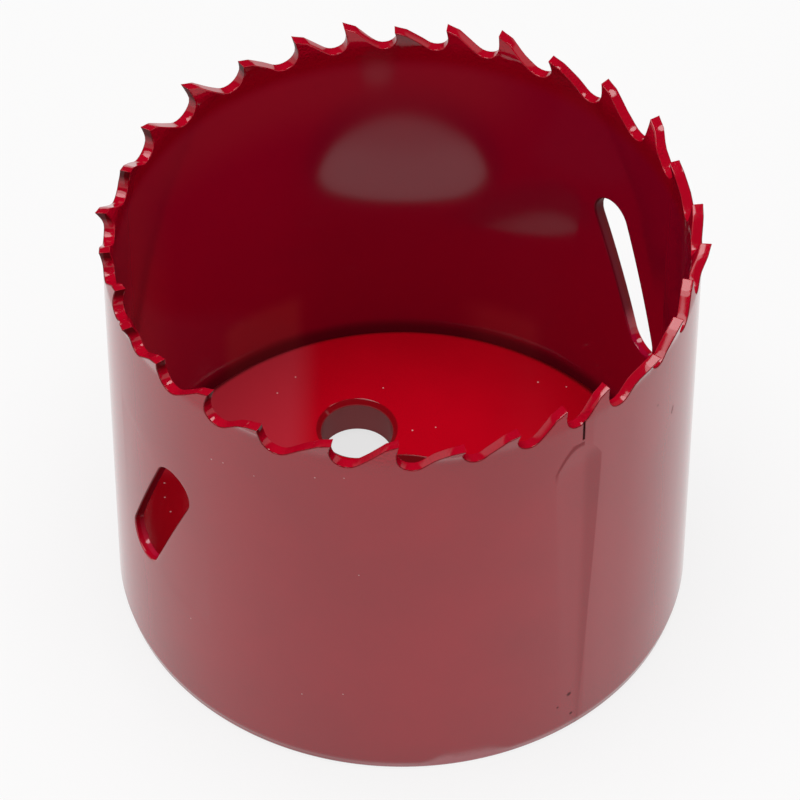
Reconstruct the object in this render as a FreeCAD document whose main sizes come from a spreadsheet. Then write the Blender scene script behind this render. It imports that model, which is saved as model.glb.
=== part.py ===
import FreeCAD, Part
import math
import os
import Sketcher
from FreeCAD import Placement, Rotation, Vector

# A bi-metal hole saw of nominal 54 mm, standing on its cap with the teeth up.
# The origin is at the middle of the cap's underside, and +Z points to the teeth.
# Azimuths are in degrees from +X, counter-clockwise seen from above.
# Every tooth cuts towards rising azimuth. The toothed band is one strip of steel,
# rolled into a ring, butt-welded and then welded round the edge of the cap plate.

SIZES = [
    ("body_diameter", 52.8, "outside of the rolled strip, below the set teeth"),
    ("strip_thickness", 1.0, "thickness of the strip"),
    ("overall_height", 42.6, "underside of the cap to the tooth tips"),
    ("weld_taper_height", 1.1, "height of the turned taper at the foot of the strip"),
    ("weld_taper_depth", 0.3, "how far that taper leans in"),
    ("cap_thickness", 3.8, "thickness of the cap plate"),
    ("cap_edge_chamfer", 0.8, "chamfer round the cap's inner face"),
    ("arbor_hole_diameter", 14.6, "tapping bore of the 5/8 inch, 18 per inch thread"),
    ("arbor_mouth_diameter", 17.2, "sunk mouth of the arbor hole at both faces"),
    ("arbor_mouth_depth", 0.7, "how deep that mouth is sunk"),
    ("pin_circle_diameter", 25.4, "circle through the drive pin holes"),
    ("pin_hole_diameter", 6.8, "bore of a drive pin hole"),
    ("pin_mouth_diameter", 7.7, "sunk mouth of a drive pin hole at the cap's inner face"),
    ("pin_mouth_depth", 0.45, "how deep that mouth is sunk"),
    ("pin_hole_count", 2, "drive pin holes in the cap"),
    ("pin_azimuth", 109.6, "azimuth of the first drive pin hole"),
    ("slot_width", 4.32, "width across a slug slot"),
    ("slot_side_length", 12.2, "length of a slot's straight side, between its round ends"),
    ("slot_slant", 24.6, "lean of a slot from upright, top towards rising azimuth"),
    ("slot_height", 21.75, "height of a slot's middle"),
    ("slot_azimuth", 34.85, "azimuth of the first slot's middle"),
    ("slot_count", 2, "slug slots in the strip"),
    ("seam_azimuth", 306.0, "azimuth of the strip's butt weld"),
    ("seam_flat_depth", 0.11, "metal ground off over the butt weld"),
    ("seam_flat_width", 5.2, "width of the ground flat"),
    ("seam_flat_top", 38.1, "top of the ground flat's arch"),
    ("tooth_count", 31, "teeth round the rim"),
    ("first_tooth_arc", 3.1, "arc from the butt weld to the first tooth tip"),
    ("outward_set", 0.76, "how far an outward-set tooth's tip stands out past the strip"),
    ("inward_set", 0.3, "how far an inward-set tooth's tip leans in"),
    ("raker_set", 0.32, "how far a raker tooth's tip stands out, with the rim's slight flare"),
    ("set_bend_height", 1.85, "height of the part of a tooth that is bent"),
    ("set_bend_radius", 1.0, "inside radius of that bend"),
    ("rake_angle", 12.0, "hook of a tooth's front face"),
    ("land_length", 1.15, "flat behind a tooth tip, along the rim"),
    ("land_drop", 0.42, "fall of that flat"),
    ("gullet_depth_ratio", 0.46, "gullet depth, in pitches"),
    ("gullet_radius_ratio", 0.25, "gullet radius, in pitches"),
    ("pitch_one", 6.4, "first of nine tooth pitches, which repeat round the rim"),
    ("pitch_two", 5.75, "second pitch"),
    ("pitch_three", 5.6, "third pitch, the one that follows the first tooth"),
    ("pitch_four", 4.9, "fourth pitch"),
    ("pitch_five", 4.85, "fifth pitch"),
    ("pitch_six", 4.65, "sixth pitch"),
    ("pitch_seven", 4.9, "seventh pitch"),
    ("pitch_eight", 5.8, "eighth pitch"),
    ("pitch_nine", 5.8, "ninth pitch"),
]
FIRST_PITCH = "pitch_three"
SET_PATTERN = [("inward_set", -1), ("outward_set", 1), ("raker_set", 1)]

NODES = ["toothed_band", "cap_plate"]
Z_AXIS = Vector(0, 0, 1)

# How far the blanks and the cutting shapes run past the finished metal
BLANK_OVERRUN = 0.4
CUTTER_OVERRUN = 1.0

doc = FreeCAD.newDocument("HoleSaw")
sheet = doc.addObject("Spreadsheet::Sheet", "Sizes")
for row, (name, value, meaning) in enumerate(SIZES, start=1):
    sheet.set(f"A{row}", meaning)
    sheet.set(f"B{row}", str(value))
    sheet.setAlias(f"B{row}", name)
doc.recompute()


def size(name):
    return float(sheet.get(name))


# Sketch helpers

def origin_plane(body, role):
    return next(f for f in body.Origin.OriginFeatures if f.Role == role)


def upright_sketch(body, name, azimuth, distance="0", height="0", lean="0"):
    """A sketch on the body's XZ plane, turned so that its back faces the azimuth.

    It stands at a distance from the axis and a height, and leans in its own plane."""
    sketch = body.newObject("Sketcher::SketchObject", name)
    sketch.AttachmentSupport = (origin_plane(body, "XZ_Plane"), "")
    sketch.MapMode = "FlatFace"
    across = f"({distance}) * cos(({azimuth}) * 1deg)"
    behind = f"-({distance}) * sin(({azimuth}) * 1deg)"
    turn = f"rotation(vector(0; 1; 0); {azimuth} - 90)"
    slant = f"rotation(vector(0; 0; 1); {lean})"
    place = f"placement(vector({across}; {height}; {behind}); {turn} * {slant})"
    sketch.setExpression("AttachmentOffset", place)
    return sketch


def hold_point(sketch, edge, end, across, up):
    """Fixes one end of an edge at two distances from the sketch's origin, as formulas."""
    for kind, axis, formula in (("DistanceX", -2, across), ("DistanceY", -1, up)):
        if formula == "0":
            sketch.addConstraint(Sketcher.Constraint("PointOnObject", edge, end, axis))
            continue
        value = float(sketch.evalExpression(formula))
        index = sketch.addConstraint(Sketcher.Constraint(kind, -1, 1, edge, end, value))
        sketch.setExpression(f"Constraints[{index}]", formula)


def draw_outline(sketch, corners):
    """Draws a closed outline of straight edges, with its corners given as formulas."""
    points = []
    for across, up in corners:
        x = float(sketch.evalExpression(across))
        y = float(sketch.evalExpression(up))
        points.append(Vector(x, y, 0))
    edges = []
    for start, end in zip(points, points[1:] + points[:1]):
        edges.append(sketch.addGeometry(Part.LineSegment(start, end), False))
    for edge, following in zip(edges, edges[1:] + edges[:1]):
        sketch.addConstraint(Sketcher.Constraint("Coincident", edge, 2, following, 1))
    for edge, (across, up) in zip(edges, corners):
        hold_point(sketch, edge, 1, across, up)


def repeat_round_axis(body, feature, name, count):
    """Repeats a feature round the body's upright axis."""
    pattern = body.newObject("PartDesign::PolarPattern", name)
    pattern.Originals = [feature]
    pattern.Axis = (origin_plane(body, "Z_Axis"), [""])
    pattern.Angle = 360
    pattern.setExpression("Occurrences", count)
    body.Tip = pattern


OUTSIDE = "Sizes.body_diameter / 2"
INSIDE = "(Sizes.body_diameter / 2 - Sizes.strip_thickness)"


# Cap plate: a turned disc with a threaded arbor hole and drive pin holes

CAP_TOP = "Sizes.cap_thickness"


def bored_edge(hole, mouth_below):
    """The corners of a hole's edge, top first, with a sunk mouth above and perhaps below."""
    bore = f"Sizes.{hole}_hole_diameter / 2"
    mouth = f"Sizes.{hole}_mouth_diameter / 2"
    depth = f"Sizes.{hole}_mouth_depth"
    below = [(bore, depth), (mouth, "0")] if mouth_below else [(bore, "0")]
    return [(mouth, CAP_TOP), (bore, f"{CAP_TOP} - {depth}")] + below


def make_cap_plate():
    body = doc.addObject("PartDesign::Body", "cap_plate")
    section = upright_sketch(body, "cap_section", "90")
    rim = [
        (INSIDE, "0"),
        (INSIDE, f"{CAP_TOP} - Sizes.cap_edge_chamfer"),
        (f"{INSIDE} - Sizes.cap_edge_chamfer", CAP_TOP),
    ]
    draw_outline(section, bored_edge("arbor", True) + rim)
    disc = body.newObject("PartDesign::Revolution", "cap_disc")
    disc.Profile = section
    disc.ReferenceAxis = (origin_plane(body, "Z_Axis"), [""])
    disc.Angle = 360
    body.Tip = disc

    pin_section = upright_sketch(
        body, "pin_hole_section", "Sizes.pin_azimuth", "Sizes.pin_circle_diameter / 2")
    draw_outline(pin_section, bored_edge("pin", False) + [("0", "0"), ("0", CAP_TOP)])
    pin_hole = body.newObject("PartDesign::Groove", "pin_hole")
    pin_hole.Profile = pin_section
    pin_hole.ReferenceAxis = (pin_section, ["V_Axis"])
    pin_hole.Angle = 360
    body.Tip = pin_hole
    repeat_round_axis(body, pin_hole, "pin_holes", "Sizes.pin_hole_count")
    return body


# Strip wall: the rolled strip below the set teeth, with its slug slots and ground weld

def draw_slot(sketch):
    """The outline of a slug slot: two straight sides joined by half-round ends."""
    half_width = size("slot_width") / 2
    half_length = size("slot_side_length") / 2
    right = sketch.addGeometry(
        Part.LineSegment(Vector(half_width, -half_length, 0), Vector(half_width, half_length, 0)), False)
    upper = sketch.addGeometry(
        Part.ArcOfCircle(Part.Circle(Vector(0, half_length, 0), Vector(0, 0, 1), half_width),
                         0, math.pi), False)
    left = sketch.addGeometry(
        Part.LineSegment(Vector(-half_width, half_length, 0), Vector(-half_width, -half_length, 0)), False)
    lower = sketch.addGeometry(
        Part.ArcOfCircle(Part.Circle(Vector(0, -half_length, 0), Vector(0, 0, 1), half_width),
                         math.pi, 2 * math.pi), False)
    edges = [right, upper, left, lower]
    for edge, following in zip(edges, edges[1:] + edges[:1]):
        sketch.addConstraint(Sketcher.Constraint("Tangent", edge, 2, following, 1))
    hold_point(sketch, right, 1, "Sizes.slot_width / 2", "-Sizes.slot_side_length / 2")
    hold_point(sketch, right, 2, "Sizes.slot_width / 2", "Sizes.slot_side_length / 2")
    sketch.addConstraint(Sketcher.Constraint("Vertical", left))
    across = sketch.addConstraint(Sketcher.Constraint("DistanceX", left, 1, right, 2, 2 * half_width))
    sketch.setExpression(f"Constraints[{across}]", "Sizes.slot_width")


def draw_seam_flat(sketch):
    """The outline of the ground flat: upright sides under a round arch."""
    half_width = size("seam_flat_width") / 2
    shoulder = size("seam_flat_top") - half_width
    below = -BLANK_OVERRUN
    foot = sketch.addGeometry(
        Part.LineSegment(Vector(-half_width, below, 0), Vector(half_width, below, 0)), False)
    right = sketch.addGeometry(
        Part.LineSegment(Vector(half_width, below, 0), Vector(half_width, shoulder, 0)), False)
    arch = sketch.addGeometry(
        Part.ArcOfCircle(Part.Circle(Vector(0, shoulder, 0), Vector(0, 0, 1), half_width), 0, math.pi), False)
    left = sketch.addGeometry(
        Part.LineSegment(Vector(-half_width, shoulder, 0), Vector(-half_width, below, 0)), False)
    sketch.addConstraint(Sketcher.Constraint("Coincident", foot, 2, right, 1))
    sketch.addConstraint(Sketcher.Constraint("Tangent", right, 2, arch, 1))
    sketch.addConstraint(Sketcher.Constraint("Tangent", arch, 2, left, 1))
    sketch.addConstraint(Sketcher.Constraint("Coincident", left, 2, foot, 1))
    hold_point(sketch, foot, 1, "-Sizes.seam_flat_width / 2", str(below))
    hold_point(sketch, foot, 2, "Sizes.seam_flat_width / 2", str(below))
    hold_point(sketch, right, 2, "Sizes.seam_flat_width / 2", "Sizes.seam_flat_top - Sizes.seam_flat_width / 2")
    sketch.addConstraint(Sketcher.Constraint("Vertical", left))


def make_strip_wall():
    body = doc.addObject("PartDesign::Body", "strip_wall")
    section = upright_sketch(body, "wall_section", "90")
    top = "Sizes.overall_height - Sizes.set_bend_height"
    draw_outline(section, [
        (INSIDE, "0"),
        (f"{OUTSIDE} - Sizes.weld_taper_depth", "0"),
        (OUTSIDE, "Sizes.weld_taper_height"),
        (OUTSIDE, top),
        (INSIDE, top),
    ])
    ring = body.newObject("PartDesign::Revolution", "ring")
    ring.Profile = section
    ring.ReferenceAxis = (origin_plane(body, "Z_Axis"), [""])
    ring.Angle = 360
    body.Tip = ring

    flat_sketch = upright_sketch(
        body, "seam_flat_outline", "Sizes.seam_azimuth", f"{OUTSIDE} - Sizes.seam_flat_depth")
    draw_seam_flat(flat_sketch)
    flat = body.newObject("PartDesign::Pocket", "seam_flat")
    flat.Profile = flat_sketch
    flat.setExpression("Length", "Sizes.strip_thickness")
    body.Tip = flat

    slot_sketch = upright_sketch(
        body, "slot_outline", "Sizes.slot_azimuth", height="Sizes.slot_height", lean="Sizes.slot_slant")
    draw_slot(slot_sketch)
    slot = body.newObject("PartDesign::Pocket", "slot")
    slot.Profile = slot_sketch
    slot.setExpression("Length", "Sizes.body_diameter")
    body.Tip = slot
    repeat_round_axis(body, slot, "slots", "Sizes.slot_count")
    return body


# Teeth: their pitches and set follow two patterns, counted from the butt weld

def tooth_azimuths():
    """The azimuth of each tooth tip and the pitch that follows it, scaled to close the rim."""
    names = [name for name, _, _ in SIZES if name.startswith("pitch_")]
    start = names.index(FIRST_PITCH)
    count = round(size("tooth_count"))
    pitches = [size(names[(start + i) % len(names)]) for i in range(count)]
    scale = 360 / sum(pitches)
    azimuth = size("seam_azimuth") + math.degrees(size("first_tooth_arc") / (size("body_diameter") / 2))
    teeth = []
    for pitch in pitches:
        arc = math.radians(pitch * scale) * size("body_diameter") / 2
        teeth.append((azimuth, pitch * scale, arc))
        azimuth += pitch * scale
    return teeth


def gullet_form(step, pitch):
    """Where a gullet's curve runs, from the tip behind it, for its angle and its pitch."""
    chord = size("body_diameter") * math.sin(math.radians(step) / 2)
    depth = size("gullet_depth_ratio") * pitch
    radius = size("gullet_radius_ratio") * pitch
    rake = math.radians(size("rake_angle"))
    middle = Vector(radius / math.cos(rake) - (depth - radius) * math.tan(rake), radius - depth, 0)
    front = middle + Vector(-radius * math.cos(rake), radius * math.sin(rake), 0)
    bottom = middle + Vector(0, -radius, 0)
    land = Vector(chord - size("land_length"), -size("land_drop"), 0)
    reach = land - middle
    turn = math.atan2(reach.y, reach.x) - math.acos(radius / reach.Length)
    back = middle + Vector(radius * math.cos(turn), radius * math.sin(turn), 0)
    return chord, rake, front, bottom, back, land


def gullet_cutter(azimuth, step, pitch):
    """The metal taken out between two tooth tips, as a block that faces the axis."""
    chord, rake, front, bottom, back, land = gullet_form(step, pitch)
    run = size("land_length") / size("land_drop")
    above_front = Vector(CUTTER_OVERRUN * math.tan(rake), CUTTER_OVERRUN, 0)
    above_land = Vector(chord + CUTTER_OVERRUN * run, CUTTER_OVERRUN, 0)
    outline = Part.Wire([
        Part.LineSegment(above_front, front).toShape(),
        Part.Arc(front, bottom, back).toShape(),
        Part.LineSegment(back, land).toShape(),
        Part.LineSegment(land, above_land).toShape(),
        Part.LineSegment(above_land, above_front).toShape(),
    ])
    spread = size("outward_set") + CUTTER_OVERRUN
    inner = size("body_diameter") / 2 - size("strip_thickness") - spread
    block = Part.Face(outline).extrude(Vector(0, 0, size("strip_thickness") + 2 * spread))
    block.translate(Vector(-chord / 2, size("overall_height"), inner))
    facing = Rotation(Vector(0, 0, 1), azimuth + step / 2 + 90) * Rotation(Vector(1, 0, 0), 90)
    block.Placement = Placement(Vector(0, 0, 0), facing) * block.Placement
    return block


def gullet_bottom_azimuth(azimuth, step, pitch):
    chord, _, _, bottom, _, _ = gullet_form(step, pitch)
    offset = math.asin((bottom.x - chord / 2) / (size("body_diameter") / 2))
    return azimuth + step / 2 + math.degrees(offset)


def bend_angle(offset):
    """How far the straight part of a tooth leans, for its tip's offset and its bend."""
    radius = size("set_bend_radius") + size("strip_thickness") / 2
    across = radius - offset
    up = size("set_bend_height")
    return math.atan2(up, across) - math.acos(radius / math.hypot(across, up))


def blank_section(offset, lean):
    """The section of a tooth blank, bent by an offset: out for lean 1 and in for lean -1."""
    thickness = size("strip_thickness")
    middle = size("body_diameter") / 2 - thickness / 2
    foot = size("overall_height") - size("set_bend_height")
    radius = size("set_bend_radius") + thickness / 2
    angle = bend_angle(offset)
    leg = size("set_bend_height") + BLANK_OVERRUN - radius * math.sin(angle)
    centre = Vector(middle + lean * radius, 0, foot)
    along = Vector(lean * math.sin(angle), 0, math.cos(angle))

    def face_edges(side):
        start = Vector(middle + side * thickness / 2, 0, foot)
        reach = radius - lean * side * thickness / 2
        half = centre + Vector(-lean * reach * math.cos(angle / 2), 0, reach * math.sin(angle / 2))
        end = centre + Vector(-lean * reach * math.cos(angle), 0, reach * math.sin(angle))
        arc = Part.Arc(start, half, end).toShape()
        return [arc, Part.LineSegment(end, end + along * leg).toShape()]

    inner = face_edges(-1)
    outer = face_edges(1)
    tip = Part.LineSegment(inner[-1].Vertexes[-1].Point, outer[-1].Vertexes[-1].Point).toShape()
    root = Part.LineSegment(outer[0].Vertexes[0].Point, inner[0].Vertexes[0].Point).toShape()
    return Part.Face(Part.Wire(Part.__sortEdges__(inner + [tip] + outer + [root])))


def make_teeth():
    """Adds the tooth blanks, each bent its own way, and the cutters of the gullets between them."""
    teeth = tooth_azimuths()
    bottoms = [gullet_bottom_azimuth(*tooth) for tooth in teeth]
    sections = [blank_section(size(name), lean) for name, lean in SET_PATTERN]
    sectors = []
    for index, bottom in enumerate(bottoms):
        start = bottoms[index - 1] - (360 if index == 0 else 0)
        sector = sections[index % len(SET_PATTERN)].revolve(Vector(0, 0, 0), Z_AXIS, bottom - start)
        sector.rotate(Vector(0, 0, 0), Z_AXIS, start)
        sectors.append(sector)
    blanks = doc.addObject("Part::Feature", "tooth_blanks")
    blanks.Shape = sectors[0].multiFuse(sectors[1:])
    cutters = [gullet_cutter(*tooth) for tooth in teeth]
    gullets = doc.addObject("Part::Feature", "gullets")
    gullets.Shape = cutters[0].multiFuse(cutters[1:])
    return blanks, gullets


def make_toothed_band():
    wall = make_strip_wall()
    doc.recompute()
    blanks, gullets = make_teeth()
    strip = doc.addObject("Part::MultiFuse", "uncut_strip")
    strip.Shapes = [wall, blanks]
    band = doc.addObject("Part::Cut", "toothed_band")
    band.Base = strip
    band.Tool = gullets
    band.Refine = True
    return band


parts = [make_toothed_band(), make_cap_plate()]
for part, name in zip(parts, NODES):
    part.Label = name
    part.Placement = Placement(Vector(0, 0, 0), Rotation())
doc.recompute()

for item in doc.Objects:
    if "Invalid" in item.State or "Error" in item.State:
        raise RuntimeError(f"{item.Name} failed: {item.State}")
for part in parts:
    if part.Shape.isNull() or not part.Shape.isValid() or len(part.Shape.Solids) != 1:
        raise RuntimeError(f"{part.Label} isn't one valid solid")

os.makedirs("parts", exist_ok=True)
for part in parts:
    part.Shape.exportStep(os.path.join("parts", f"{part.Label}.step"))
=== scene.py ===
import math
from functools import partialmethod, reduce

import bmesh
import bpy
import numpy as np
from bpy.props import FloatProperty, FloatVectorProperty, IntProperty, PointerProperty
from mathutils import Matrix, Vector


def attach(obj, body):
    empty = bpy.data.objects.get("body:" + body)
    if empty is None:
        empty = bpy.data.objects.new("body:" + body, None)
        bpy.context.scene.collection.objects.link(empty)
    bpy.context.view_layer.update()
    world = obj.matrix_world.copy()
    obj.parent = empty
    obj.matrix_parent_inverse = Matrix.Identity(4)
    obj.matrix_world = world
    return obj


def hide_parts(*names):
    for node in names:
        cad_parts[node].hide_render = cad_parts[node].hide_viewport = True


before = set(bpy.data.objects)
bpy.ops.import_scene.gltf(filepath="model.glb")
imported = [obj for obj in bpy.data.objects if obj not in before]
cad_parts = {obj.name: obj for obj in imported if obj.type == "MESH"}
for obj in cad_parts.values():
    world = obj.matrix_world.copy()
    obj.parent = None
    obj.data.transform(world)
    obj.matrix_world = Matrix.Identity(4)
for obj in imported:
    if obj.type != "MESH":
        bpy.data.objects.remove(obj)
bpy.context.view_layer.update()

bl_info = {
    "name": "Hole saw",
    "version": (1, 0, 0),
    "blender": (4, 5, 0),
    "location": "View3D > Sidebar > Hole saw",
    "description": "Builds a lacquered hole saw round its solid frame, with its stage and camera",
    "category": "Object",
}

MM = 0.001
BODY = "root"

# Teeth: nine pitches, in millimetres, repeat round the rim from the butt weld on
PITCHES = (5.6, 4.9, 4.85, 4.65, 4.9, 5.8, 5.8, 6.4, 5.75)

# Edge columns on a tooth's front, in the gullet's curve, on the back slope and on the land
FRONT, CURVE, BACK, LAND = 5, 9, 5, 5
CORNER = FRONT + CURVE + BACK
COLUMNS = CORNER + LAND

# Those columns crowd towards the tip by this power. The edges' rounding there starts at this
# share of its radius and grows to the whole of it with the distance from the tip
CROWDING = 1.8
TIP_SHARE, TIP_REACH = 0.35, 0.55 * MM

# Where those columns meet the smooth wall below the gullets: ahead of the tip, then in pitches
WALL_LEAD = 1.6 * MM
WALL_SHARES = (0.13, 0.48, 0.20, 0.19)

# Rows of the strip's section: on the wall in millimetres of height, on a tooth in shares of the
# fall from its edge to the wall
LOW_ROWS = (0.3, 0.5, 0.7, 0.9, 1.15, 1.4, 1.7, 2.0, 2.4, 6.5)
HIGH_ROWS = (34.2, 35.3, 35.7, 36.1, 36.5, 36.9, 37.3, 37.65)
WINDOW_ROWS = 17
OUTER_FALLS = (0.84, 0.69, 0.56, 0.44, 0.34, 0.25, 0.17, 0.11, 0.06, 0.025)
INNER_FALLS = (0.025, 0.07, 0.14, 0.25, 0.40, 0.60, 0.80)

# Rings round a slot, in shares of the way from its window to its rounded edge
OUTER_RINGS = (0.30, 0.55, 0.75, 0.89, 0.96)
INNER_RINGS = (0.96, 0.87, 0.70, 0.45)

# Turns of a rounded edge's rows, and how near to each other points are joined
ROUNDING = np.linspace(0, math.pi / 2, 5)
WELD_DISTANCE = 0.001 * MM

# Points round the arbor hole and up it, round the cap's edge and round a drive pin hole
BORE_GRID = {"Columns": 180, "Rows": 65}
EDGE_POINTS, PIN_POINTS = 256, 96

# Camera: the sensor's width in millimetres and the frame's in pixels
SENSOR_WIDTH, FRAME_PIXELS = 36, 800

# Lamp: place, aim and width in metres, power in watts
LAMP_PLACE, LAMP_AIM = (-0.03, -0.05, 0.9), (0, 0, 0.02)
LAMP_SIZE, LAMP_POWER = 0.75, 8.5

# World: its light on the saw, and the dark and the pale horizon that only reflections show
AMBIENT, GLOOM, HORIZON = 0.55, 0.01, 0.60

# Floor: how white it is by itself, and its greys in the open and in the painted shadow beneath the
# saw
FLOOR_WHITE = 0.80
OPEN_GREY, SHADED_GREY = (0.58, 0.57, 0.57, 1), (0.24, 0.23, 0.23, 1)

# Soft boxes that only reflections show: azimuth, elevation and half width in degrees, brightness
SOFTBOXES = ((165, 76, 15.5, 4.6), (-148, 66, 18, 2.8), (8, 57, 9.5, 5.0))

# Marks in the lacquer, in millimetres: where each lies and its radius
DARK_SPECKS = (
    (23.75, -11.50, 32.1, 0.21), (23.7, -11.6, 31.85, 0.25), (23.66, -11.70, 31.6, 0.21),
    (22.2, -14.2, 35.2, 0.17), (15.1, -21.6, 4.9, 0.34), (14.1, -22.3, 3.8, 0.18),
    (15.4, -21.5, 2.0, 0.26))
DUST_SPECKS = (
    (-16.4, -20.7, 35.2, 0.11), (-15.4, -21.5, 35.6, 0.11), (-7.4, -25.3, 38.0, 0.11),
    (-4.9, -25.9, 38.6, 0.1), (-12.7, -23.2, 35.8, 0.1), (-3.7, -26.1, 26.3, 0.1),
    (-8.9, -24.9, 8.7, 0.11), (-5.2, -25.9, 9.9, 0.1), (-18.9, -18.4, 11.5, 0.1))
CAP_SPECKS = (
    (-11.9, 16.5, 3.8, 0.12), (-10.2, 18.6, 3.8, 0.1), (-1.8, 17.2, 3.8, 0.1),
    (1.0, 11.7, 3.8, 0.12), (3.2, 12.1, 3.8, 0.1), (13.0, 18.0, 3.8, 0.12), (15.7, 17.4, 3.8, 0.1),
    (16.6, 19.7, 3.8, 0.1), (-22.3, 4.9, 3.8, 0.12), (-22.2, 3.1, 3.8, 0.1),
    (-21.6, 1.3, 3.8, 0.12))


# Node trees

def operator(operation, turned=False):
    """A method that adds a Math node of two operands to the graph of the term it belongs to."""
    def method(self, other):
        return self.graph.math(operation, *((other, self) if turned else (self, other)))
    return method


class Term:
    """An output of a node. Python arithmetic on it adds Math nodes to its graph."""

    def __init__(self, graph, socket):
        self.graph = graph
        self.socket = socket

    def __neg__(self):
        return self.graph.math("MULTIPLY", self, -1)

    def __abs__(self):
        return self.graph.math("ABSOLUTE", self)

    __add__, __radd__ = operator("ADD"), operator("ADD", True)
    __sub__, __rsub__ = operator("SUBTRACT"), operator("SUBTRACT", True)
    __mul__, __rmul__ = operator("MULTIPLY"), operator("MULTIPLY", True)
    __truediv__, __rtruediv__ = operator("DIVIDE"), operator("DIVIDE", True)
    __pow__, __mod__ = operator("POWER"), operator("FLOORED_MODULO")
    __gt__, __lt__ = operator("GREATER_THAN"), operator("LESS_THAN")


class Graph:
    """A node tree, empty at first, that nodes are added to by their type."""

    def __init__(self, tree):
        self.tree = tree
        tree.nodes.clear()

    def node(self, kind, settings=None, sockets=None):
        """Adds a node: its settings first, then the values or links of its sockets."""
        node = self.tree.nodes.new(kind)
        for name, value in (settings or {}).items():
            setattr(node, name, value)
        for key, value in (sockets or {}).items():
            self.feed(self.find(node.inputs, key), value)
        return node

    def find(self, sockets, key):
        if isinstance(key, int):
            return sockets[key]
        return next(s for s in sockets if s.name == key and s.enabled)

    def feed(self, socket, value):
        if isinstance(value, Term):
            self.tree.links.new(value.socket, socket)
        else:
            socket.default_value = value

    def take(self, kind, settings=None, sockets=None, output=0):
        """Adds a node and gives one of its outputs."""
        node = self.node(kind, settings, sockets)
        return Term(self, self.find(node.outputs, output))

    def math(self, operation, *operands, clamp=False):
        settings = {"operation": operation, "use_clamp": clamp}
        return self.take("ShaderNodeMath", settings, dict(enumerate(operands)))

    def clamp(self, value):
        return self.math("ADD", value, 0.0, clamp=True)

    sin = partialmethod(math, "SINE")
    cos = partialmethod(math, "COSINE")
    tan = partialmethod(math, "TANGENT")
    sqrt = partialmethod(math, "SQRT")
    floor = partialmethod(math, "FLOOR")
    bearing = partialmethod(math, "ARCTAN2")
    arccos = partialmethod(math, "ARCCOSINE")
    least = partialmethod(math, "MINIMUM")

    def most(self, *values):
        return reduce(lambda first, second: self.math("MAXIMUM", first, second), values)

    def ramp(self, value, low, high):
        """0 at low, 1 at high, straight between."""
        return self.clamp((value - low) / (high - low))

    def smooth(self, value, low, high):
        """0 at low, 1 at high, eased at both ends. Falls where low is the greater."""
        sockets = {"Value": value, "From Min": low, "From Max": high}
        return self.take("ShaderNodeMapRange", {"interpolation_type": "SMOOTHSTEP"}, sockets)

    def fade(self, value, start, end):
        """0 at start and 1 at end, both in millimetres, eased at both ends."""
        return self.smooth(value, start * MM, end * MM)

    def split(self, vector):
        node = self.node("ShaderNodeSeparateXYZ", {}, {0: vector})
        return [Term(self, output) for output in node.outputs]

    def join(self, x, y, z):
        return self.take("ShaderNodeCombineXYZ", {}, {0: x, 1: y, 2: z})

    def measure(self, operation, first, second):
        """A number made of two vectors."""
        sockets = {0: first, 1: second}
        return self.take("ShaderNodeVectorMath", {"operation": operation}, sockets, "Value")

    def attribute(self, name):
        return self.take("ShaderNodeAttribute", {"attribute_name": name}, {}, "Fac")

    def noise(self, place, scale, detail=2.0):
        sockets = {"Vector": place, "Scale": scale, "Detail": detail}
        return self.take("ShaderNodeTexNoise", {}, sockets, "Fac")

    def bump(self, height, strength, distance, **sockets):
        sockets |= {"Height": height, "Strength": strength, "Distance": distance}
        return self.take("ShaderNodeBump", {}, sockets, "Normal")

    def blend(self, factor, first, second):
        """A colour between two colours."""
        sockets = {"Factor": factor, "A": first, "B": second}
        return self.take("ShaderNodeMix", {"data_type": "RGBA"}, sockets, "Result")

    def paint(self, base, *layers):
        """Lays colours over a base, each with its cover."""
        for cover, colour in layers:
            base = self.blend(cover, base, (*colour, 1))
        return base


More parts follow.
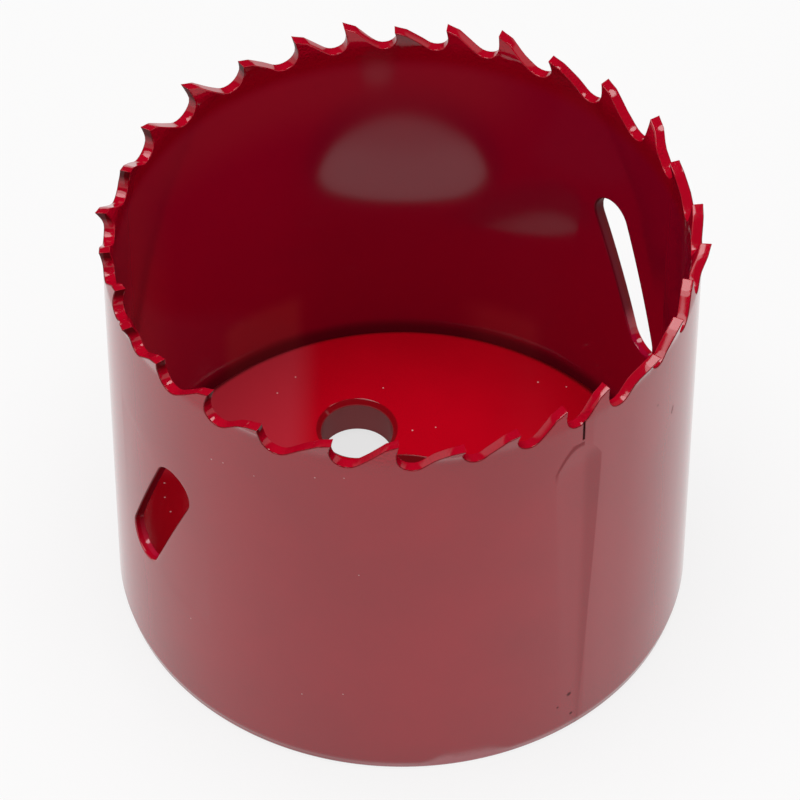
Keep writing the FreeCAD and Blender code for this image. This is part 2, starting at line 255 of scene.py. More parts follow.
class ShapeTree(Graph):
    """A Geometry Nodes tree with named inputs, which makes one plain mesh."""

    def __init__(self, name):
        super().__init__(bpy.data.node_groups.new(name, "GeometryNodeTree"))
        self.values = {}
        self.tree.interface.new_socket(
            name="Geometry", in_out="OUTPUT", socket_type="NodeSocketGeometry")

    def declare(self, name, kind):
        made = self.tree.interface.new_socket(
            name=name, in_out="INPUT", socket_type="NodeSocket" + kind)
        return made.identifier

    def inputs(self, links, sizes):
        for name, kind in links.items():
            self.declare(name, kind)
        for name, value in sizes.items():
            kind = "Int" if isinstance(value, int) else "Float"
            self.values[self.declare(name, kind)] = value
        entry = self.node("NodeGroupInput")
        return [Term(self, entry.outputs[i]) for i in range(len(links) + len(sizes))]

    def table(self, geometry, name, index):
        """One row's value of a named attribute."""
        settings = {"data_type": "FLOAT"}
        value = self.take("GeometryNodeInputNamedAttribute", settings, {"Name": name})
        sockets = {"Geometry": geometry, "Value": value, "Index": index}
        return self.take("GeometryNodeSampleIndex", settings, sockets)

    def grid(self, columns, rows):
        """A flat grid, with the column and the row of each of its points."""
        sockets = {"Vertices X": columns, "Vertices Y": rows}
        mesh = self.take("GeometryNodeMeshGrid", {}, sockets, "Mesh")
        index = self.take("GeometryNodeInputIndex")
        column = self.floor(index / rows)
        return mesh, column, index - column * rows

    def wrap(self, mesh, distance, azimuth, z):
        """Moves the points of a mesh to their places round the axis."""
        place = self.join(distance * self.cos(azimuth), distance * self.sin(azimuth), z)
        return self.take("GeometryNodeSetPosition", {}, {"Geometry": mesh, "Position": place})

    def store(self, geometry, name, value):
        """Keeps a value at each point, for the material."""
        settings = {"data_type": "FLOAT", "domain": "POINT"}
        sockets = {"Geometry": geometry, "Name": name, "Value": value}
        return self.take("GeometryNodeStoreNamedAttribute", settings, sockets)

    def close(self, geometry, material):
        """Welds the seams, shades the mesh smooth and gives it its material."""
        sockets = {"Geometry": geometry, "Distance": WELD_DISTANCE}
        merged = self.take("GeometryNodeMergeByDistance", {}, sockets)
        shaded = self.take("GeometryNodeSetShadeSmooth", {}, {"Geometry": merged})
        real = self.take("GeometryNodeRealizeInstances", {}, {"Geometry": shaded})
        done = self.take("GeometryNodeSetMaterial", {}, {"Geometry": real, "Material": material})
        self.node("NodeGroupOutput", {}, {0: done})

    def run(self, name, source, links):
        """Runs the tree on a source mesh and gives the result as a plain mesh."""
        carrier = put(name, source)
        modifier = carrier.modifiers.new(name, "NODES")
        modifier.node_group = self.tree
        for identifier, value in self.values.items():
            modifier[identifier] = value
        for item in self.tree.interface.items_tree:
            if item.name in links:
                modifier[item.identifier] = links[item.name]
        bpy.context.view_layer.update()
        graph = bpy.context.evaluated_depsgraph_get()
        mesh = bpy.data.meshes.new_from_object(carrier.evaluated_get(graph), depsgraph=graph)
        bpy.data.objects.remove(carrier)
        for helper in links.values():
            if isinstance(helper, bpy.types.Object):
                bpy.data.objects.remove(helper)
        return mesh


def put(name, data):
    """Makes an object of its data and links it to the scene."""
    made = bpy.data.objects.new(name, data)
    bpy.context.scene.collection.objects.link(made)
    return made


def shader_graph(block):
    """The node tree of a material or a world, emptied."""
    block.use_nodes = True
    return Graph(block.node_tree)


def table_mesh(name, columns):
    """A mesh of loose points that carries a table, one named column for each attribute."""
    mesh = bpy.data.meshes.new(name)
    count = len(next(iter(columns.values())))
    mesh.from_pydata([(0.0, 0.0, 0.0)] * count, [], [])
    for key, values in columns.items():
        attribute = mesh.attributes.new(key, "FLOAT", "POINT")
        attribute.data.foreach_set("value", np.asarray(values, np.float32))
    return mesh


def add_piece(name, bm, mesh, material, node):
    """Puts a finished mesh in the scene in the place of a solid of the frame."""
    bmesh.ops.recalc_face_normals(bm, faces=bm.faces)
    if any(not edge.is_manifold for edge in bm.edges):
        raise RuntimeError(f"{name} isn't closed")
    for face in bm.faces:
        face.smooth = True
    bm.to_mesh(mesh)
    bm.free()
    mesh.materials.clear()
    mesh.materials.append(material)
    mesh.polygons.foreach_set("material_index", np.zeros(len(mesh.polygons), np.int32))
    piece = put(name, mesh)
    weighted = piece.modifiers.new("Even normals", "WEIGHTED_NORMAL")
    weighted.mode = "FACE_AREA"
    weighted.weight = 90
    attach(piece, BODY)
    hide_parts(node)


# Sizes and colours

def length(name, description, value):
    return FloatProperty(
        name=name, description=description, default=value * MM, unit="LENGTH", subtype="DISTANCE",
        precision=5, min=0)


def angle(name, description, degrees):
    return FloatProperty(
        name=name, description=description, default=math.radians(degrees), unit="ROTATION",
        subtype="ANGLE")


def number(name, description, value):
    return FloatProperty(name=name, description=description, default=value, min=0)


def count(name, description, value, least=1):
    return IntProperty(name=name, description=description, default=value, min=least)


def colour(name, description, value):
    return FloatVectorProperty(
        name=name, description=description, default=value, size=3, subtype="COLOR", min=0, max=1)


class BandSettings(bpy.types.PropertyGroup):
    """Sizes of the rolled and toothed strip."""
    body_radius: length("Body radius", "Outside of the strip, below the set teeth", 26.4)
    thickness: length("Strip thickness", "Thickness of the strip", 1.0)
    height: length("Height", "Underside of the cap to the tooth tips", 42.6)
    outward_set: length("Outward set", "How far an outward-set tooth's tip stands out", 0.76)
    inward_set: length("Inward set", "How far an inward-set tooth's tip leans in", 0.3)
    raker_set: length("Raker set", "How far a raker tooth's tip stands out", 0.32)
    bend_height: length("Bend height", "Height of the bent part of a tooth", 1.85)
    bend_radius: length("Bend radius", "Radius of that bend, at the middle of the strip", 1.5)
    rake: angle("Rake", "Hook of a tooth's front face", 12)
    land_length: length("Land length", "Flat behind a tooth tip, along the rim", 1.15)
    land_drop: length("Land drop", "Fall of that flat", 0.42)
    gullet_depth: number("Gullet depth", "In pitches", 0.46)
    gullet_radius: number("Gullet radius", "In pitches", 0.25)
    first_tooth: length("First tooth", "Arc from the butt weld to the first tooth tip", 3.1)
    edge_radius: length("Edge radius", "Rounding of the lacquered edges", 0.09)
    foot_radius: length("Foot radius", "Rounding of the strip's foot", 0.12)
    anchor_height: length("Anchor height", "Where the wall below the gullets begins", 38.0)
    tooth_count: count("Teeth", "Teeth round the rim", 31, 3)
    seam_azimuth: angle("Seam azimuth", "Where the strip is butt-welded", 306.1)
    flat_azimuth: angle("Ground azimuth", "Middle of the ground flat over the weld", 305.5)
    flat_depth: length("Ground depth", "Metal ground off over the butt weld, near its top", 0.11)
    flat_top: length("Ground top", "Top of the ground flat's arch", 38.1)
    taper_depth: length("Foot taper", "How far the foot of the strip is ground in", 0.3)
    taper_height: length("Foot taper height", "Height of that taper", 0.85)
    spot_height: length("Ground spot", "Extra height of the taper, where ground by hand", 1.05)
    spot_azimuth: angle("Ground spot azimuth", "Middle of that spot", 283)


class SlotSettings(bpy.types.PropertyGroup):
    """Sizes of the slug slots in the strip."""
    width: length("Width", "Across a slot", 4.32)
    side: length("Side", "Length of a slot's straight side, between its round ends", 12.2)
    slant: angle("Slant", "Lean from upright, top towards rising azimuth", 24.6)
    height: length("Height", "Height of a slot's middle", 21.75)
    azimuth: angle("Azimuth", "First slot's middle", 34.85)
    slot_count: count("Slots", "Slots round the strip", 2)
    edge_radius: length("Edge radius", "Rounding of the slot's edges", 0.14)
    window_half_width: length("Window half width", "Half of the wall piece that holds a slot", 6.6)
    window_half_height: length("Window half height", "Half the height of that piece", 9.5)


class CapSettings(bpy.types.PropertyGroup):
    """Sizes of the cap plate."""
    radius: length("Radius", "Edge of the cap plate", 25.4)
    thickness: length("Thickness", "Thickness of the cap plate", 3.8)
    edge_width: length("Edge width", "Width of the groove between cap and strip", 0.8)
    edge_depth: length("Edge depth", "Depth of that groove", 0.8)
    edge_radius: length("Edge radius", "Rounding of the lacquered edges", 0.12)
    bore_radius: length("Thread minor radius", "Crests of the arbor thread", 7.3)
    thread_radius: length("Thread major radius", "Roots of the arbor thread", 7.94)
    thread_pitch: length("Thread pitch", "18 turns per inch", 1.411)
    mouth_radius: length("Arbor mouth radius", "Sunk mouth of the arbor hole", 8.6)
    mouth_depth: length("Arbor mouth depth", "How deep that mouth is sunk", 0.7)
    pin_circle: length("Pin circle radius", "Where the drive pin holes lie", 12.7)
    pin_radius: length("Pin hole radius", "Bore of a drive pin hole", 3.4)
    pin_mouth_radius: length("Pin mouth radius", "Sunk mouth of a drive pin hole", 3.85)
    pin_mouth_depth: length("Pin mouth depth", "How deep that mouth is sunk", 0.45)
    pin_azimuth: angle("Pin azimuth", "First drive pin hole", 109.6)
    pin_count: count("Pin holes", "Drive pin holes", 2)


class FinishSettings(bpy.types.PropertyGroup):
    """Colours of the lacquer and of what lies on it, and of painted shade, sheen and reflections.
    """
    band_red: colour("Strip red", "Lacquer on the strip", (0.335, 0.0006, 0.011))
    # A copy of the strip's lacquer for its inner wall, tinted crimson as painted shade
    inner_shade_red: colour("Inner red", "Lacquer on the strip's inner wall", (0.34, 0.0006, 0.024))
    cap_red: colour("Cap red", "Lacquer on the cap", (0.40, 0.0004, 0.0075))
    # Pale painted sheen, which stands in for soft reflections on the cap and the inner wall
    painted_sheen: colour("Painted sheen", "Pale painted sheen on the cap and the inner wall", (0.39, 0.018, 0.031))
    # Greyish painted reflection on the drive pin holes' walls
    hole_reflection: colour("Hole wall", "Greyish painted reflection in the drive pin holes", (0.38, 0.105, 0.110))
    # This colour also paints shade: in grooves and sunk mouths, on the inner wall, the ground flat,
    # tooth fronts and cut faces
    dark: colour("Dark marks", "Hairline of the weld, dirt and scratches", (0.02, 0.004, 0.004))
    # The dust colour also paints a faint sheen beside the ground flat
    dust: colour("Dust", "Specks in the lacquer", (0.75, 0.55, 0.55))
    # Pale painted reflection of the floor on the strip's ground foot
    foot: colour("Foot", "Pale painted reflection of the floor on the ground foot of the strip", (0.72, 0.34, 0.38))


class StageSettings(bpy.types.PropertyGroup):
    """Camera and stage."""
    focal_pixels: number("Focal length", "In pixels of an 800 pixel frame", 5146.38)
    distance: length("Distance", "From the aim point to the camera", 469.22)
    elevation: angle("Elevation", "Camera above the horizon", 47.1625)
    aim_height: length("Aim height", "Height of the aim point", 18.48)
    yaw: angle("Yaw", "Turn of the camera", math.degrees(0.00039))
    pitch: angle("Pitch", "Tilt of the camera", math.degrees(0.00301))
    roll: angle("Roll", "Roll of the camera", math.degrees(-0.00215))
    floor_size: length("Floor", "Side of the floor", 6000)


SETTINGS = {
    "hole_saw_band": BandSettings,
    "hole_saw_slot": SlotSettings,
    "hole_saw_cap": CapSettings,
    "hole_saw_finish": FinishSettings,
    "hole_saw_stage": StageSettings,
}


def sizes_of(settings, keys, prefix=""):
    """Sizes for a tree's inputs: the settings that the keys name, with their names in words."""
    return {(prefix + key.replace("_", " ")).capitalize(): getattr(settings, key)
            for key in keys.split()}


def around(azimuth, features):
    """Azimuths of like features that stand evenly round the axis, from the first one on."""
    return [azimuth + index * 2 * math.pi / features for index in range(features)]


# Lacquer

def lacquer(name, red, marks, *settings):
    """Gloss red lacquer over steel, with a faint orange peel and uneven gloss.

    The marks give the base colour, the share of bare lacquer without gloss and a relief."""
    material = bpy.data.materials.new(name)
    graph = shader_graph(material)
    place = graph.take("ShaderNodeTexCoord", output="Object")
    broad = graph.noise(place, 90.0, 3.0)
    deep = [0.9 * part for part in red]
    base = graph.blend(graph.ramp(broad, 0.35, 0.65), (*deep, 1), (*red, 1))
    base, dull, relief = marks(graph, place, base, *settings)
    peel = graph.bump(graph.noise(place, 900.0), 0.06, 0.1 * MM)
    sockets = {
        "Base Color": base,
        "Roughness": 0.26 + 0.10 * broad + 0.30 * dull,
        "Normal": graph.bump(relief, 1.0, 1.0, Normal=peel),
        "Coat Weight": 1 - dull,
        "Coat Roughness": 0.09,
        "Coat IOR": 1.58,
        "Specular IOR Level": 0.0,
    }
    shader = graph.take("ShaderNodeBsdfPrincipled", {}, sockets, "BSDF")
    graph.node("ShaderNodeOutputMaterial", {}, {"Surface": shader})
    return material


def speck_cover(graph, place, points):
    """1 on small round specks; each point has its place and radius in millimetres."""
    cover = 0.0
    for *centre, radius in points:
        gap = graph.measure("DISTANCE", place, [part * MM for part in centre])
        cover = graph.most(cover, graph.fade(gap, radius, 0.35 * radius))
    return cover


def line_shade(graph, offset, half_width):
    """1 in the middle of a line, 0 from its half width on, which is in millimetres."""
    return graph.fade(abs(offset), half_width, 0.3 * half_width)


def ground_off(graph, z, depth, top):
    """How deep the butt weld's outside was ground at a height: most a little below the arch."""
    full = depth * graph.ramp(z, top, top - 2.6 * MM)
    middle = graph.ramp(z, 34 * MM, 16.5 * MM)
    low = graph.ramp(z, 16.5 * MM, 3 * MM)
    return full * (1 - 0.55 * middle - 0.30 * low)


def beside(graph, x, y, azimuth):
    """The way round the strip from an azimuth, and 1 on that side of the strip."""
    along = x * -math.sin(azimuth) + y * math.cos(azimuth)
    return along, (x * math.cos(azimuth) + y * math.sin(azimuth)) > 0


def inner_painted_sheen(graph, x, z):
    """Where a pale sheen is painted on the inner wall: two patches by the cap, the left side, the
    top.
    """
    low_left = graph.fade(x, -17.5, -16) * graph.fade(x, -9, -10.5) * graph.fade(z, 11, 8.5)
    low_right = graph.fade(x, 5, 8.5) * graph.fade(x, 14, 12) * graph.fade(z, 9.5, 6.5)
    left = graph.fade(x, -20.5, -24.5)
    top = graph.fade(z, 29, 36) * graph.fade(x, 14, 6)
    return graph.most(low_left, 0.65 * low_right, 0.7 * left, 0.5 * top)


def band_marks(graph, place, base, band, finish):
    """What shows on the strip besides its plain lacquer, with painted shade and sheen among it."""
    dark = finish.dark
    x, y, z = graph.split(place)
    distance = graph.sqrt(x * x + y * y)
    is_outer = distance > band.body_radius - band.thickness * 0.5
    wall = 1 - is_outer
    inside = wall * graph.fade(z, 39.5, 37.5)
    # The inner wall: its own lacquer copy as painted shade, more painted shade towards the middle
    # and right, and painted sheen
    base = graph.paint(
        base, (inside, finish.inner_shade_red), (0.14 * inside * graph.fade(x, -14, -5), dark),
        (inside * inner_painted_sheen(graph, x, z), finish.painted_sheen))

    # The butt weld: a hairline left open near the teeth, and the ground flat with its arch
    along, facing = beside(graph, x, y, band.seam_azimuth)
    across, _ = beside(graph, x, y, band.flat_azimuth)
    on_weld = is_outer * facing
    outmost = distance > band.body_radius - 0.10 * MM
    hairline = line_shade(graph, along, 0.19) * graph.fade(z, 38.35, 38.6) * facing * outmost
    ground = ground_off(graph, z, band.flat_depth, band.flat_top)
    rim = ground - across * across / (2 * band.body_radius)
    arch = line_shade(graph, rim, 0.022) * graph.fade(z, 34.0, 36.5)
    arch = arch * (across < 0.4 * MM) * (z < 38.25 * MM) * on_weld
    on_flat = graph.fade(rim, 0.0, 0.006) * on_weld
    # Painted shade on the ground flat, and a faint painted sheen in the dust colour beside it
    shade = on_flat * graph.fade(along, -0.2, 0.9) * graph.fade(z, 37.2, 35.8)
    sheen_beside_flat = (1 - on_flat) * on_weld * graph.fade(along, 0.9, 1.3) * graph.fade(along, 6, 2.5)
    base = graph.paint(
        base, (0.15 * shade, dark), (0.025 * sheen_beside_flat, finish.dust), (0.30 * arch, dark),
        (0.97 * hairline, dark))

    # The foot: a pale painted reflection of the floor, reaching higher where it was ground by hand
    along, facing = beside(graph, x, y, band.spot_azimuth)
    spot_top = band.taper_height + band.spot_height * graph.fade(abs(along), 4.4, 1.6)
    spot_top = spot_top * (0.7 + 0.6 * graph.noise(place, 700.0))
    foot = graph.smooth(z, spot_top, 0.35 * spot_top) * is_outer * facing
    foot = foot * graph.fade(abs(along), 13, 7)

    # Painted shade in the groove where the cap's edge meets the strip, and what lies in the lacquer
    crevice_shade = wall * graph.fade(z, 5.2, 3.7)
    dirt = speck_cover(graph, place, DARK_SPECKS)
    dust = speck_cover(graph, place, DUST_SPECKS)

    # Darker outer edges of the teeth, and painted shade on their fronts and on the slots' cut faces
    # above the slots' bottoms
    edge, front, cut = map(graph.attribute, ("outer_edge", "front_face", "cut_face"))
    cut = cut * graph.fade(z, 15.5, 17.5)
    base = graph.paint(
        base, (0.30 * foot, finish.foot), (0.45 * crevice_shade, dark), (0.7 * dirt, dark),
        (0.55 * dust, finish.dust), (graph.most(0.75 * edge, 0.72 * front, 0.6 * cut), dark))

    # Small lumps on all teeth, coarse grains on some tips
    lumps = graph.noise(place, 2600.0, 1.0) * graph.fade(z, 38.6, 40.0)
    rough_tips = graph.smooth(graph.noise(place, 160.0), 0.42, 0.6) * graph.fade(z, 39.4, 41.2)
    grains = graph.noise(place, 4200.0, 1.0) * rough_tips
    relief = 0.045 * MM * lumps + 0.14 * MM * grains - 0.05 * MM * hairline
    dull = graph.most(0.7 * crevice_shade, hairline, 0.5 * arch, 0.15 * shade, 0.8 * edge,
                      0.8 * front, 0.8 * cut, 0.6 * dirt)
    return base, dull, relief


def cap_marks(graph, place, base, cap, finish):
    """What shows on the cap plate besides its plain lacquer, with painted shade and sheen among it.
    It has no relief.
    """
    dark = finish.dark
    x, y, z = graph.split(place)
    distance = graph.sqrt(x * x + y * y)
    # Painted sheen on the cap's left back, and painted shade by the left slot, in the groove at its
    # edge and in the arbor hole's sunk mouth
    painted_sheen = graph.fade(x, -7.5, -11) * graph.fade(y, 5, 8)
    shade = graph.fade(x, -15, -19) * graph.fade(y, 8, 5)
    crevice_shade = graph.fade(distance - cap.radius, -1.15, -0.75) * (z > 1.5 * MM)
    thread = graph.fade(distance - cap.mouth_radius, 0.15, -0.1)
    base = graph.paint(
        base, (painted_sheen, finish.painted_sheen), (0.30 * shade, dark), (0.55 * crevice_shade, dark),
        (0.75 * thread, dark), (0.5 * speck_cover(graph, place, CAP_SPECKS), finish.dust))

    # The drive pin holes: painted shade in the sunk mouth and a greyish painted reflection on the
    # wall
    dull = graph.most(0.8 * crevice_shade, thread)
    for azimuth in around(cap.pin_azimuth, cap.pin_count):
        off_x = x - cap.pin_circle * math.cos(azimuth)
        off_y = y - cap.pin_circle * math.sin(azimuth)
        gap = graph.sqrt(off_x * off_x + off_y * off_y)
        mouth = graph.fade(gap - cap.pin_mouth_radius, 0.12, -0.05)
        wall = mouth * graph.fade(z - cap.thickness, -0.35, -0.6)
        base = graph.paint(base, (0.45 * mouth, dark), (wall, finish.hole_reflection))
        dull = graph.most(dull, 0.55 * wall)
    return base, dull, 0.0


# Toothed band

def tooth_table(settings):
    """The tips' azimuths, the steps that follow them and how far they are set, as attributes."""
    pitches = np.resize(PITCHES, settings.tooth_count)
    steps = pitches * (2 * math.pi / pitches.sum())
    first = settings.seam_azimuth + settings.first_tooth / settings.body_radius
    azimuths = first + np.concatenate([[0], np.cumsum(steps)[:-1]])
    sets = (-settings.inward_set, settings.outward_set, settings.raker_set)
    offsets = np.resize(sets, settings.tooth_count)
    return table_mesh("tooth_tips", {"azimuth": azimuths, "step": steps, "offset": offsets})


def rounding(radius):
    """How far the rows of a rounded edge lie in from its two faces, from one to the other."""
    return [(radius * (1 - math.sin(turn)), radius * (1 - math.cos(turn))) for turn in ROUNDING]


def strip_section(settings, slot):
    """The section of the strip, from its outer foot over the rim to its inner foot.

    Each row has its height on the wall, its share of the fall from the toothed edge to the
    wall, its distance in from the edge and in from the face, and its side of the strip."""
    anchor, edge = settings.anchor_height, settings.edge_radius
    foot, rim = rounding(settings.foot_radius)[::2], rounding(edge)
    reach = slot.window_half_height
    window = list(np.linspace(slot.height - reach, slot.height + reach, WINDOW_ROWS))
    low, high = ([height * MM for height in heights] for heights in (LOW_ROWS, HIGH_ROWS))
    rows = []

    def wall(height, side, pull=0.0):
        rows.append((height, 1.0, edge, pull, side))

    def tooth(fall, side, inset=edge, pull=0.0):
        rows.append((anchor, fall, inset, pull, side))

    for pull, height in foot:
        wall(height, 1, pull)
    for height in low + window + high + [anchor]:
        wall(height, 1)
    for fall in OUTER_FALLS:
        tooth(fall, 1)
    for inset, pull in rim:
        tooth(0, 1, inset, pull)
    for inset, pull in rim[::-1]:
        tooth(0, -1, inset, pull)
    for fall in INNER_FALLS:
        tooth(fall, -1)
    for height in [anchor] + window[::-1] + [5.0 * MM]:
        wall(height, -1)
    for pull, height in foot[::-1]:
        wall(height, -1, pull)
    rows.append(rows[0])
    names = ("height", "fall", "inset", "pull", "side")
    return table_mesh("strip_section", dict(zip(names, np.array(rows).T)))


def band_tree(settings, slot, rows):
    """The tree that sweeps the strip's section along its toothed edge and sets the teeth."""
    tree = ShapeTree("Toothed strip")
    sizes = {"Section rows": rows} | sizes_of(
        settings, "tooth_count body_radius thickness height rake gullet_depth gullet_radius "
        "land_length land_drop bend_height bend_radius edge_radius flat_azimuth flat_depth "
        "flat_top taper_depth taper_height spot_height spot_azimuth") | sizes_of(
        slot, "azimuth slot_count height window_half_width window_half_height", "slot ")
    links = {"Tips": "Geometry", "Section": "Object", "Material": "Material"}
    (tips, section, material, row_count, teeth, radius, thickness, height, rake, depth_share,
     radius_share, land_length, land_drop, bend_height, bend_radius, edge_radius,
     ground_azimuth, ground_depth, ground_top, taper, taper_height, spot_height, spot_azimuth,
     slot_azimuth, slots, slot_height, half_width, half_height) = tree.inputs(links, sizes)
    sin, cos, sqrt, clamp = tree.sin, tree.cos, tree.sqrt, tree.clamp
    rows_of = tree.take("GeometryNodeObjectInfo", {}, {"Object": section}, "Geometry")
    mesh, column, row = tree.grid(teeth * COLUMNS + 1, row_count)

    # The tooth gap that a column belongs to, and how far along it the column stands
    tooth = tree.floor(column / COLUMNS)
    place = column - tooth * COLUMNS
    here = tooth % teeth
    step = tree.table(tips, "step", here)
    tip_azimuth = tree.table(tips, "azimuth", here)
    chord = 2 * radius * sin(step / 2)
    pitch = step * radius
    on_front = clamp(place / FRONT)
    on_curve = clamp((place - FRONT) / CURVE)
    on_back = clamp((place - FRONT - CURVE) / BACK)
    on_land = clamp((place - CORNER) / LAND)
    front_run = on_front ** CROWDING
    land_run = 1 - (1 - on_land) ** CROWDING

    # The gap's outline: front face, round gullet, back slope and land
    depth = depth_share * pitch
    gullet = radius_share * pitch
    middle_x = gullet / cos(rake) - (depth - gullet) * tree.tan(rake)
    middle_z = gullet - depth
    front_x = middle_x - gullet * cos(rake)
    front_z = middle_z + gullet * sin(rake)
    land_x = chord - land_length
    reach_x = land_x - middle_x
    reach_z = -land_drop - middle_z
    reach = sqrt(reach_x * reach_x + reach_z * reach_z)
    turn = tree.bearing(reach_z, reach_x) - tree.arccos(gullet / reach)
    back_x = middle_x + gullet * cos(turn)
    back_z = middle_z + gullet * sin(turn)
    bearing = math.pi - rake + on_curve * (math.pi + rake + turn)
    edge_x = (front_x * front_run + middle_x + gullet * cos(bearing) - front_x
              + (land_x - back_x) * on_back + land_length * land_run)
    edge_z = (front_z * front_run + middle_z + gullet * sin(bearing) - front_z
              + (-land_drop - back_z) * on_back + land_drop * land_run)

    # The direction out of the metal, square to the outline
    past_corner = ((place > CORNER - 0.5) + (place > CORNER + 0.5)) / 2
    land_bearing = math.pi / 2 + tree.bearing(land_drop, land_length)
    at_tip = place < 0.5
    outward = (bearing - math.pi + past_corner * (land_bearing - math.pi - turn)
               + at_tip * (land_bearing + rake) / 2)
    mitre = 1 + at_tip * (1 / cos((land_bearing + rake) / 2) - 1)
    from_tip = tree.least(front_run * -front_z, (1 - land_run) * land_length)
    fineness = tree.least(1.0, TIP_SHARE + from_tip / TIP_REACH)

    # The strip's section, moved along that outline and down to the wall
    inset, fall, level, side, pull = (
        tree.table(rows_of, name, row) for name in ("inset", "fall", "height", "side", "pull"))
    inset = inset * fineness * mitre
    near_edge = fall < 0.999
    share = pull / edge_radius
    is_outer = side > 0
    outer_edge = 4 * share * (1 - share) * is_outer * near_edge
    front_face = (fall < 0.001) * (share > 0.9) * (place > 0.5)
    front_face = front_face * tree.ramp(place, FRONT + 2, FRONT)
    pull = pull * (1 + near_edge * (fineness - 1))
    top_x = edge_x - cos(outward) * inset
    top_z = height + edge_z - sin(outward) * inset
    wall_x = pitch * (WALL_SHARES[0] * on_front + WALL_SHARES[1] * on_curve
                      + WALL_SHARES[2] * on_back + WALL_SHARES[3] * on_land) - WALL_LEAD
    x = top_x + (wall_x - top_x) * fall
    z = top_z + (level - top_z) * fall
    azimuth = tip_azimuth + x * step / chord

    # Every tooth leans its own way, from the bottom of one gullet to the next
    set_here = tree.table(tips, "offset", here)
    set_after = tree.table(tips, "offset", (tooth + 1) % teeth)
    offset = set_here + (set_after - set_here) * (bearing > 1.5 * math.pi)
    lean = tree.math("SIGN", offset)
    across = bend_radius - abs(offset)
    slope = sqrt(across * across + bend_height * bend_height)
    bend = tree.bearing(bend_height, across) - tree.arccos(bend_radius / slope)
    rise = tree.most(z - height + bend_height, 0.0)
    curved = tree.least(rise, bend_radius * sin(bend))
    shift = (bend_radius - sqrt(bend_radius * bend_radius - curved * curved)
             + (rise - curved) * tree.tan(bend))
    distance = radius - thickness / 2 + lean * shift + side * (thickness / 2 - pull)

    # What was ground off the outside: the flat over the butt weld and the foot
    ground = ground_off(tree, z, ground_depth, ground_top)
    plane = (radius - ground) / tree.most(cos(azimuth - ground_azimuth), 0.9)
    distance = distance - is_outer * tree.most(distance - plane, 0.0)
    off_spot = abs((azimuth - spot_azimuth + math.pi) % (2 * math.pi) - math.pi)
    on_spot = tree.smooth(off_spot, math.radians(9.5), math.radians(3.5))
    taper_top = taper_height + spot_height * on_spot
    foot = clamp(1 - z / taper_top)
    distance = distance - is_outer * taper * foot * (1 - 0.35 * foot)
    placed = tree.wrap(mesh, distance, azimuth, z)
    placed = tree.store(placed, "outer_edge", outer_edge)
    placed = tree.store(placed, "front_face", front_face)

    # Windows in the wall, which the slug slots' surrounds fill
    px, py, pz = tree.split(tree.take("GeometryNodeInputPosition"))
    sector = 2 * math.pi / slots
    turned = (tree.bearing(py, px) - slot_azimuth + sector / 2) % sector - sector / 2
    inside = (abs(turned) * radius < half_width) * (abs(pz - slot_height) < half_height)
    pierced = tree.take(
        "GeometryNodeDeleteGeometry", {"domain": "FACE"}, {"Geometry": placed, "Selection": inside})
    tree.close(pierced, material)
    return tree


def boundary_loops(bm, expected):
    """The open edges of a mesh, as closed chains of vertices, as many as expected.

    They are taken in the mesh's own order, so every run gives the same chains."""
    left = dict.fromkeys(edge for edge in bm.edges if edge.is_boundary)
    loops = []
    while left:
        edge, _ = left.popitem()
        chain = [edge.verts[0], edge.verts[1]]
        while True:
            following = next((e for e in chain[-1].link_edges if e in left), None)
            if following is None:
                break
            left.pop(following)
            nearby = following.other_vert(chain[-1])
            if nearby is chain[0]:
                break
            chain.append(nearby)
        loops.append(chain)
    if len(loops) != expected:
        raise RuntimeError(f"{len(loops)} open edges in place of {expected}")
    return loops


def loft(bm, rings):
    """Joins rings of vertices with quads."""
    for ring, following in zip(rings, rings[1:]):
        for i in range(len(ring)):
            j = (i + 1) % len(ring)
            bm.faces.new((ring[i], ring[j], following[j], following[i]))


def slot_outline(slot, bearing):
    """A point of the slot's outline and the way out of it there, in the slot's own frame.

    The bearing is 0 at the middle of one side and a quarter turn at the middle of an end."""
    half_width = slot.width / 2
    half_side = slot.side / 2
    quarter = math.pi / 2
    face = round(bearing / quarter) % 4
    share = (bearing - round(bearing / quarter) * quarter) / (quarter / 2)
    if face in (0, 2):
        point, way = np.array([half_width, half_side * share]), np.array([1.0, 0.0])
    else:
        way = np.array([-math.sin(quarter * share), math.cos(quarter * share)])
        point = np.array([0.0, half_side]) + half_width * way
    return (-point, -way) if face in (2, 3) else (point, way)


def slot_bearing(slot, over, along):
    """The bearing of the outline's point that lies nearest to a point outside the slot."""
    half_side = slot.side / 2
    eighth = math.pi / 4
    if abs(along) <= half_side:
        bearing = eighth * along / half_side
        return bearing if over > 0 else math.pi - bearing
    swing = math.atan2(over, abs(along) - half_side)
    return math.copysign(2 * eighth - swing / 2, along)


